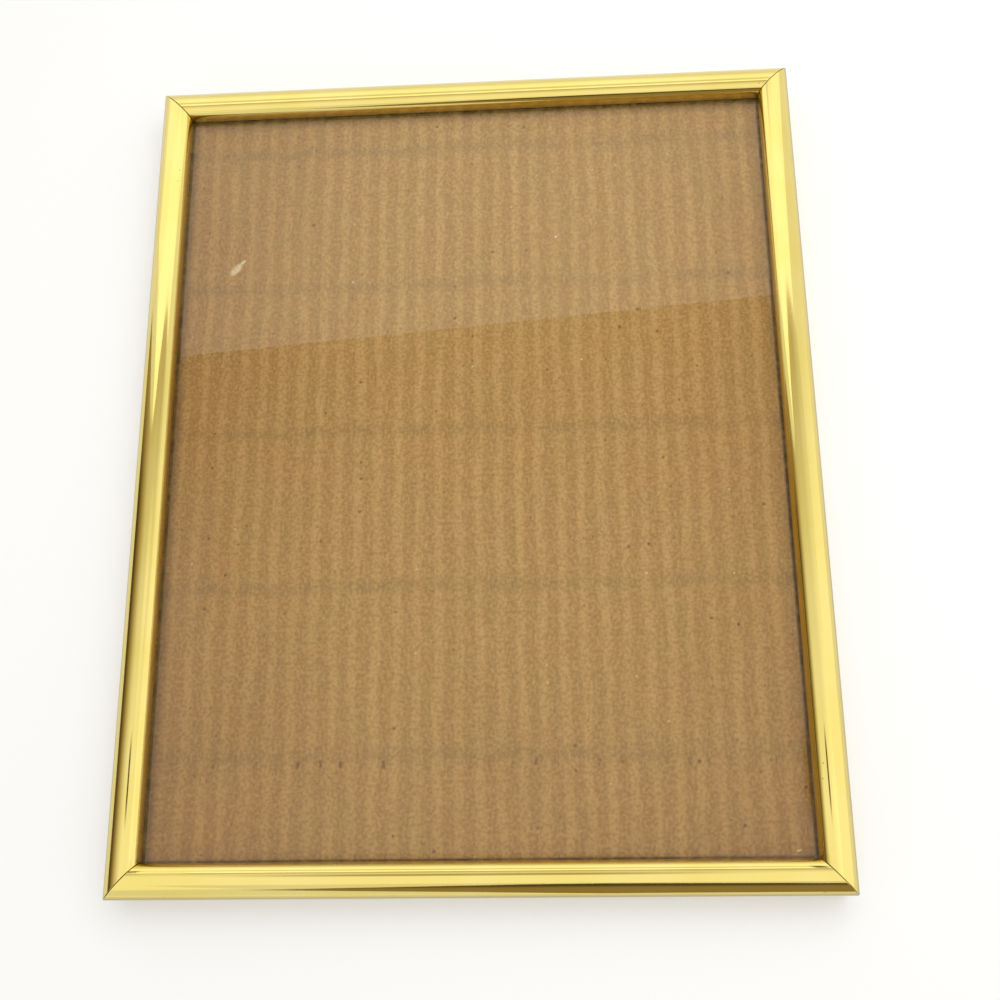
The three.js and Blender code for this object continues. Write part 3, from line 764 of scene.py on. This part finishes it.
def kraft_paper(name, striped):
    """Brown kraft paper with fibres and specks; the front liner also has flute stripes that are partly a
    painted highlight, finger lines, and painted shade towards its edges and along the rails.
    """
    material, tree, shader = new_material(name)
    spot, axes = on_object(tree)
    cloud = noise(tree, spot, 75.0, 3.0, 0.6)
    mottle = noise(tree, spot, 310.0, 3.0, 0.6)
    grain = noise(tree, spot, 1000.0, 3.0, 0.7)
    fibre = place(tree, STREAKS, Vector=spot, Stretch=(1500, 260, 400), Detail=3.0).outputs["Value"]
    tint = blend_colours(tree, remap(tree, cloud, 0.36, 0.64), KRAFT_RED, KRAFT_GREEN)
    tint = blend_colours(tree, remap(tree, mottle, 0.4, 0.66, 0.0, 0.36), tint, KRAFT_DARK)
    if striped:
        tint, flute, wave = flute_tone_and_highlight(tree, spot, axes, tint)
        tint = finger_lines(tree, spot, axes, tint, flute, wave)
    tint = blend_colours(tree, remap(tree, fibre, 0.52, 0.68, 0.0, 0.55), tint, FIBRE_COLOUR)
    tint = blend_colours(tree, remap(tree, grain, 0.46, 0.62, 0.0, 0.58), tint, GRAIN_DARK)
    tint = blend_colours(tree, remap(tree, grain, 0.5, 0.36, 0.0, 0.48), tint, FIBRE_COLOUR)
    jitter = node(tree, "TexNoise", Vector=spot, Scale=1400.0, Detail=1.0).outputs["Color"]
    shaken = node(tree, "VectorMath", {"operation": "MULTIPLY_ADD"})
    for i, value in enumerate((jitter, (0.5 * MM, 0.7 * MM, 0), spot)):
        plug(tree, value, shaken.inputs[i])
    for scale, share, size, depth in ((170.0, 0.06, 0.09, 0.75), (330.0, 0.1, 0.12, 0.5)):
        flecks = place(tree, SPECKS, Vector=shaken.outputs[0], Scale=scale, Share=share, Size=size)
        flecks = calc(tree, "MULTIPLY", flecks.outputs["Mask"], depth)
        tint = blend_colours(tree, flecks, tint, SPECK_COLOUR)
    pale = place(tree, SPECKS, Vector=shaken.outputs[0], Scale=230.0, Share=0.02, Size=0.07)
    tint = blend_colours(tree, calc(tree, "MULTIPLY", pale.outputs["Mask"], 0.5), tint, PALE_COLOUR)
    if striped:
        for at, size in BOARD_SPOTS:
            tint = blend_colours(tree, mark(tree, spot, at, size, soft=0.55), tint, SPECK_COLOUR)
        patchy = remap(tree, grain, 0.36, 0.54, 0.35, 1.0)
        for at, size, turn in BOARD_SCUFFS:
            torn = calc(tree, "MULTIPLY", mark(tree, spot, at, size, turn, 0.5), patchy)
            tint = blend_colours(tree, torn, tint, SCUFF_COLOUR)
        # Painted shade: the light falling off towards the board's left, lower and right edges
        tint = blend_colours(tree, edge_painted_falloff(tree, spot, axes), tint, FALLOFF_SHADE_COLOUR, "MULTIPLY")
        # Painted shade: the rails' shadow on the board, put into its colour as a dark line and a veil
        tint = blend_colours(tree, rail_painted_shade(tree, spot, axes), tint, RAIL_SHADE_COLOUR)
    plug(tree, tint, shader.inputs["Base Color"])
    plug(tree, remap(tree, grain, 0.2, 0.8, 0.72, 0.92), shader.inputs["Roughness"])
    shader.inputs["Specular IOR Level"].default_value = 0.25
    normal = bump(tree, grain, 0.02 * MM, 0.6)
    plug(tree, bump(tree, fibre, 0.012 * MM, 0.6, normal), shader.inputs["Normal"])
    return material


def covered_board(name, deep, worn):
    """Hardboard covered with dark grained paper; its cut edges show the brown board."""
    material, tree, shader = new_material(name)
    coords = node(tree, "TexCoord").outputs
    spot = coords["Object"]
    cells = node(tree, "TexVoronoi", {"feature": "DISTANCE_TO_EDGE"}, Vector=spot, Scale=1100.0)
    grain = remap(tree, cells.outputs["Distance"], 0.0, 0.22)
    cloud = noise(tree, spot, 18.0, 3.0)
    paper = blend_colours(tree, remap(tree, cloud, 0.3, 0.7), deep, worn)
    paper = blend_colours(tree, remap(tree, grain, 0.6, 0.0, 0.0, 0.5), paper, PAPER_GROOVE)
    scuff = place(tree, HAIRLINES, Vector=spot, Stretch=(35, 150, 35), Width=0.008, Cover=0.55)
    scuff = calc(tree, "MULTIPLY", scuff.outputs["Mask"], 0.5)
    paper = blend_colours(tree, scuff, paper, PAPER_SCUFF)
    lay = place(tree, STREAKS, Vector=spot, Stretch=(160, 160, 4000), Detail=3.0).outputs["Value"]
    board = blend_colours(tree, lay, HARDBOARD_DARK, HARDBOARD_PALE)
    facing = calc(tree, "ABSOLUTE", node(tree, "SeparateXYZ", Vector=coords["Normal"]).outputs[2])
    edge = remap(tree, facing, 0.72, 0.55)
    plug(tree, blend_colours(tree, edge, paper, board), shader.inputs["Base Color"])
    plug(tree, remap(tree, grain, 0.0, 1.0, 0.75, 0.48), shader.inputs["Roughness"])
    plug(tree, bump(tree, grain, 0.03 * MM, 0.8), shader.inputs["Normal"])
    return material


def plated_steel(name, pale, dark, gloss):
    """Plated sheet steel: brushed faces, stray scratches and dull spots."""
    material, tree, shader = new_material(name)
    spot = node(tree, "TexCoord").outputs["Object"]
    brushed = place(tree, STREAKS, Vector=spot, Stretch=(5200, 160, 5200), Detail=3.0).outputs["Value"]
    cloud = noise(tree, spot, 220.0, 3.0)
    scratch = place(tree, HAIRLINES, Vector=spot, Stretch=(500, 170, 400), Width=0.012, Cover=0.55)
    scratch = scratch.outputs["Mask"]
    dull = place(tree, SPECKS, Vector=spot, Scale=900.0, Share=0.12, Size=0.22).outputs["Mask"]
    tint = blend_colours(tree, remap(tree, cloud, 0.3, 0.7), dark, pale)
    tint = blend_colours(tree, calc(tree, "MULTIPLY", dull, 0.4), tint, DULL_SPOT)
    plug(tree, tint, shader.inputs["Base Color"])
    shader.inputs["Metallic"].default_value = 1.0
    rough = remap(tree, brushed, 0.3, 0.7, gloss, gloss + 0.12)
    rough = calc(tree, "ADD", rough, calc(tree, "MULTIPLY", dull, 0.15))
    plug(tree, calc(tree, "ADD", rough, calc(tree, "MULTIPLY", scratch, 0.15)), shader.inputs["Roughness"])
    normal = bump(tree, brushed, 0.0015 * MM)
    plug(tree, bump(tree, scratch, -0.006 * MM, under=normal), shader.inputs["Normal"])
    return material


def dress(obj, material):
    obj.data.materials.clear()
    obj.data.materials.append(material)


def soften(obj, width, sharp=30):
    """A narrow bevel on a CAD piece's sharp edges, with smooth shading over its round facets."""
    bevel = obj.modifiers.new("soft_edges", "BEVEL")
    bevel.width = width
    bevel.segments = 2
    bevel.limit_method = "ANGLE"
    bevel.angle_limit = math.radians(sharp)
    bevel.harden_normals = True
    obj.data.shade_smooth()


def add_rails(material):
    half_width, half_height = OUTER_WIDTH / 2, OUTER_HEIGHT / 2
    sides = [
        ("bottom", OUTER_WIDTH, (0, -half_height, 0), 0),
        ("right", OUTER_HEIGHT, (half_width, 0, 0), math.pi / 2),
        ("top", OUTER_WIDTH, (0, half_height, 0), math.pi),
        ("left", OUTER_HEIGHT, (-half_width, 0, 0), -math.pi / 2),
    ]
    for side, length, at, turn in sides:
        rail = bead_rail(f"bead_rail_{side}", length, at, turn)
        dress(rail, material)
        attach(rail, "frame")
        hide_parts(f"rail_{side}")


def add_board():
    liner, medium, rear = corrugated_board()
    plain = kraft_paper("kraft_fluting", striped=False)
    dress(liner, kraft_paper("kraft_liner", striped=True))
    dress(medium, plain)
    dress(rear, plain)
    for piece in (liner, medium, rear):
        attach(piece, "frame")
        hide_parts("corrugated_filler")


def add_rivet(node_name, obj, material):
    """A rivet with a dimpled head, in the place of a plain one and on the same body."""
    low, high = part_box(node_name)
    top = (high.z - low.z) / MM
    rest = [(RIVET_SHANK, RIVET_HEAD[-1][1]), (RIVET_SHANK, top - FLANGE_THICKNESS)]
    rest += [(RIVET_FLANGE, top - FLANGE_THICKNESS), (RIVET_FLANGE, top), (0, top)]
    profile = [(radius * MM, height * MM) for radius, height in RIVET_HEAD + rest]
    middle = (low + high) / 2
    rivet = turned(f"turned_{node_name}", profile, Vector((middle.x, middle.y, low.z)))
    dress(rivet, material)
    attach(rivet, obj["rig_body"])
    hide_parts(node_name)


def dress_hardware():
    nickel = plated_steel("nickel_plate", *NICKEL)
    zinc = plated_steel("zinc_plate", *ZINC)
    panel_cover = covered_board("covered_panel", *PANEL_PAPER)
    strut_cover = covered_board("covered_strut", *STRUT_PAPER)
    for name, obj in list(frame["nodes"].items()):
        if obj.hide_render:
            continue
        if name == "glass_pane":
            dress(obj, clear_glass())
        elif name in ("back_panel", "easel_strut"):
            dress(obj, panel_cover if name == "back_panel" else strut_cover)
            soften(obj, BOARD_BEVEL)
        elif "rivet" in name:
            add_rivet(name, obj, nickel)
        elif name.startswith("corner_key") or name == "hinge_pin":
            dress(obj, zinc)
            soften(obj, ZINC_BEVEL)
        else:
            dress(obj, nickel)
            soften(obj, NICKEL_BEVEL)


def from_middle(tree, axes):
    """How far a point lies from the middle of the frame, seen from above."""
    return calc(tree, "SQRT", calc(tree, "ADD", *[calc(tree, "POWER", axes[k], 2.0) for k in (0, 1)]))


def add_floor():
    """A white table top, open under the frame so that its back can be seen and lit from below."""
    hole_x, hole_y = OUTER_WIDTH / 2 - FLOOR_HEM, OUTER_HEIGHT / 2 - FLOOR_HEM
    inner = [(x * hole_x, y * hole_y, -FLOOR_DROP) for x, y in CORNER_WAYS]
    outer = [(x * FLOOR_REACH, y * FLOOR_REACH, -FLOOR_DROP) for x, y in CORNER_WAYS]
    faces = [(k, 4 + k, 4 + (k + 1) % 4, (k + 1) % 4) for k in range(4)]
    floor = new_object("floor", inner + outer, faces)
    material, tree, shader = new_material("white_table")
    shader.inputs["Base Color"].default_value = FLOOR_COLOUR
    shader.inputs["Roughness"].default_value = 0.7
    shader.inputs["Specular IOR Level"].default_value = 0.1
    lift = remap(tree, from_middle(tree, on_object(tree)[1]), 0.3, 1.1, FLOOR_LIFT, FAR_LIFT)
    lift = calc(tree, "MULTIPLY", seen_rays(tree), lift)
    glow = node(tree, "Emission", Color=(1, 1, 1, 1), Strength=lift)
    lifted = node(tree, "AddShader")
    plug(tree, shader.outputs[0], lifted.inputs[0])
    plug(tree, glow.outputs[0], lifted.inputs[1])
    under = node(tree, "NewGeometry").outputs["Backfacing"]
    surface_of_two(tree, under, lifted, node(tree, "BsdfTransparent"))
    floor.data.materials.append(material)


def add_card(name, corners, strength, faces=None, cover=None):
    """A studio card that only polished surfaces and glass mirror: it lights and shades nothing else.
    Strength is a number or a function of the place on the card, and cover is where the card is solid."""
    card = new_object(name, corners, faces or [tuple(range(len(corners)))])
    material = bpy.data.materials.new(name)
    material.use_nodes = True
    material.cycles.emission_sampling = "NONE"
    tree = material.node_tree
    tree.nodes.remove(tree.nodes["Principled BSDF"])
    axes = on_object(tree)[1]
    light = strength(tree, axes) if callable(strength) else strength
    colour = blend_colours(tree, remap(tree, light, 0.2, 1.1), DULL_CARD, PALE_CARD)
    glow = node(tree, "Emission", Color=colour, Strength=light)
    solid = cover(tree, axes) if cover else 1.0
    surface_of_two(tree, solid, node(tree, "BsdfTransparent"), glow)
    card.data.materials.append(material)
    card.visible_camera = False
    card.visible_diffuse = False
    card.visible_shadow = False
    card.visible_transmission = False


def window_light(tree, axes):
    """Half light near the floor, full light above it, and a duller sash between them."""
    low = remap(tree, axes[2], 0.0, 0.5, 1.0, 1.5)
    high = remap(tree, axes[2], 1.0, 1.25, 0.0, 0.12)
    sash = remap(tree, away(tree, axes[2], 0.95), 0.3, 0.05, 0.0, 0.55)
    middle = remap(tree, away(tree, axes[0], -0.08), 0.6, 0.35)
    return calc(tree, "SUBTRACT", calc(tree, "ADD", low, high), calc(tree, "MULTIPLY", sash, middle))


def side_light(tree, axes):
    """Full light that fades a little towards the window."""
    return remap(tree, axes[1], 0.15, 0.6, 1.36, 1.1)


def from_window(tree, axes):
    """How a wall or ceiling brightens away from the window, whose glare leaves it dull close by."""
    return remap(tree, axes[1], -0.1, 0.45, 1.5, 0.8, "LINEAR")


def cove_light(tree, axes):
    """Nearly dark at the foot and brighter towards the top."""
    foot = remap(tree, axes[1], 0.2, 0.42, 0.09, 0.45)
    rising = remap(tree, axes[2], 0.18, 0.95, foot, 0.85, "LINEAR")
    return calc(tree, "MULTIPLY", rising, from_window(tree, axes))


def ceiling_light(tree, axes):
    right = remap(tree, axes[0], 0.2, 0.8, 0.0, 0.25)
    return calc(tree, "ADD", calc(tree, "MULTIPLY", from_window(tree, axes), 0.85), right)


def warm_light(tree, axes):
    """Nearly dark along the top edge, half dark below it."""
    return remap(tree, axes[2], 0.34, 0.56, 0.34, 0.1)


def under_light(tree, axes):
    """Dull right below the frame and brighter towards the walls."""
    return remap(tree, from_middle(tree, axes), 0.2, 2.6, 0.45, 1.05, "LINEAR")


def strip_cover(middle, half):
    """A thin line that fades out all round, and with the distance of the surface that mirrors it."""

    def cover(tree, axes):
        edges = [remap(tree, away(tree, axes[k], middle[k]), half[k], half[k] * 0.3) for k in (0, 1)]
        near = remap(tree, node(tree, "LightPath").outputs["Ray Length"], STRIP_FAR, STRIP_NEAR)
        return calc(tree, "MULTIPLY", calc(tree, "MULTIPLY", *edges), near)

    return cover


def add_cards():
    add_card("window_card", WINDOW_CARD, window_light)
    add_card("side_card", SIDE_CARD, side_light)
    add_card("warm_card", WARM_CARD, warm_light)
    ends = [(CEILING_LEFT, CEILING_NEAR), (CEILING_RIGHT, CEILING_NEAR)]
    ends += [(x, CEILING_EDGE + CEILING_SLANT * x) for x in (CEILING_RIGHT, CEILING_LEFT)]
    add_card("ceiling", [(x, y, CEILING_HEIGHT) for x, y in ends], ceiling_light)
    below = [(x * UNDER_REACH, y * UNDER_REACH, -UNDER_DEPTH) for x, y in CORNER_WAYS]
    add_card("under_card", below, under_light)
    for name, (middle, half, light) in STRIPS.items():
        spots = [(middle[0] + x * half[0], middle[1] + y * half[1], STRIP_HEIGHT) for x, y in CORNER_WAYS]
        add_card(name, spots, light, cover=strip_cover(middle, half))
    corners, faces = [], []
    for k, angle in enumerate(np.linspace(0, math.pi / 2, COVE_STEPS + 1)):
        x = CEILING_LEFT - COVE_DEPTH * math.cos(angle)
        z = CEILING_HEIGHT * math.sin(angle)
        far = CEILING_EDGE + CEILING_SLANT * CEILING_LEFT - COVE_NOTCH * math.sin(2 * angle)
        corners += [(x, COVE_NEAR, z), (x, far, z)]
        if k:
            faces.append((2 * k - 2, 2 * k - 1, 2 * k + 1, 2 * k))
    add_card("cove", corners, cove_light, faces)


def add_studio():
    """A white room with soft light that is strongest from the window side, and one large soft lamp."""
    world = bpy.data.worlds.new("studio")
    bpy.context.scene.world = world
    world.use_nodes = True
    tree = world.node_tree
    background = tree.nodes["Background"]
    towards = node(tree, "VectorMath", {"operation": "DOT_PRODUCT"})
    plug(tree, node(tree, "TexCoord").outputs["Generated"], towards.inputs[0])
    plug(tree, BRIGHT_SIDE, towards.inputs[1])
    window = remap(tree, towards.outputs["Value"], -0.2, 0.75)
    room = blend_colours(tree, window, ROOM_DULL, ROOM_BRIGHT)
    room = blend_colours(tree, seen_rays(tree), room, (1, 1, 1, 1))
    plug(tree, room, background.inputs["Color"])
    background.inputs["Strength"].default_value = 1.0
    lamp = bpy.data.lights.new("window_light", "AREA")
    lamp.shape = "RECTANGLE"
    lamp.size = LAMP_SIZE
    lamp.size_y = LAMP_SIZE
    lamp.energy = LAMP_POWER
    lamp.color = LAMP_COLOUR
    holder = bpy.data.objects.new("window_light", lamp)
    bpy.context.scene.collection.objects.link(holder)
    holder.location = LAMP_PLACE
    holder.rotation_mode = "QUATERNION"
    holder.rotation_quaternion = (-LAMP_PLACE).to_track_quat("-Z", "Y")
    holder.visible_glossy = False
    holder.visible_transmission = False


def add_camera():
    camera = bpy.data.cameras.new("photo_view")
    camera.sensor_width = SENSOR_WIDTH
    camera.lens = FOCAL_PIXELS * SENSOR_WIDTH / IMAGE_PIXELS
    camera.clip_start = 0.01
    holder = bpy.data.objects.new("photo_view", camera)
    bpy.context.scene.collection.objects.link(holder)
    holder.location = CAMERA_PLACE
    holder.rotation_mode = "QUATERNION"
    look = (CAMERA_AIM - CAMERA_PLACE).to_track_quat("-Z", "Y")
    holder.rotation_quaternion = look @ Quaternion((0, 0, 1), CAMERA_ROLL)
    bpy.context.scene.camera = holder


add_camera()
add_rails(gold_anodised())
add_board()
dress_hardware()
add_floor()
add_cards()
add_studio()
bpy.context.scene.view_settings.view_transform = "Standard"
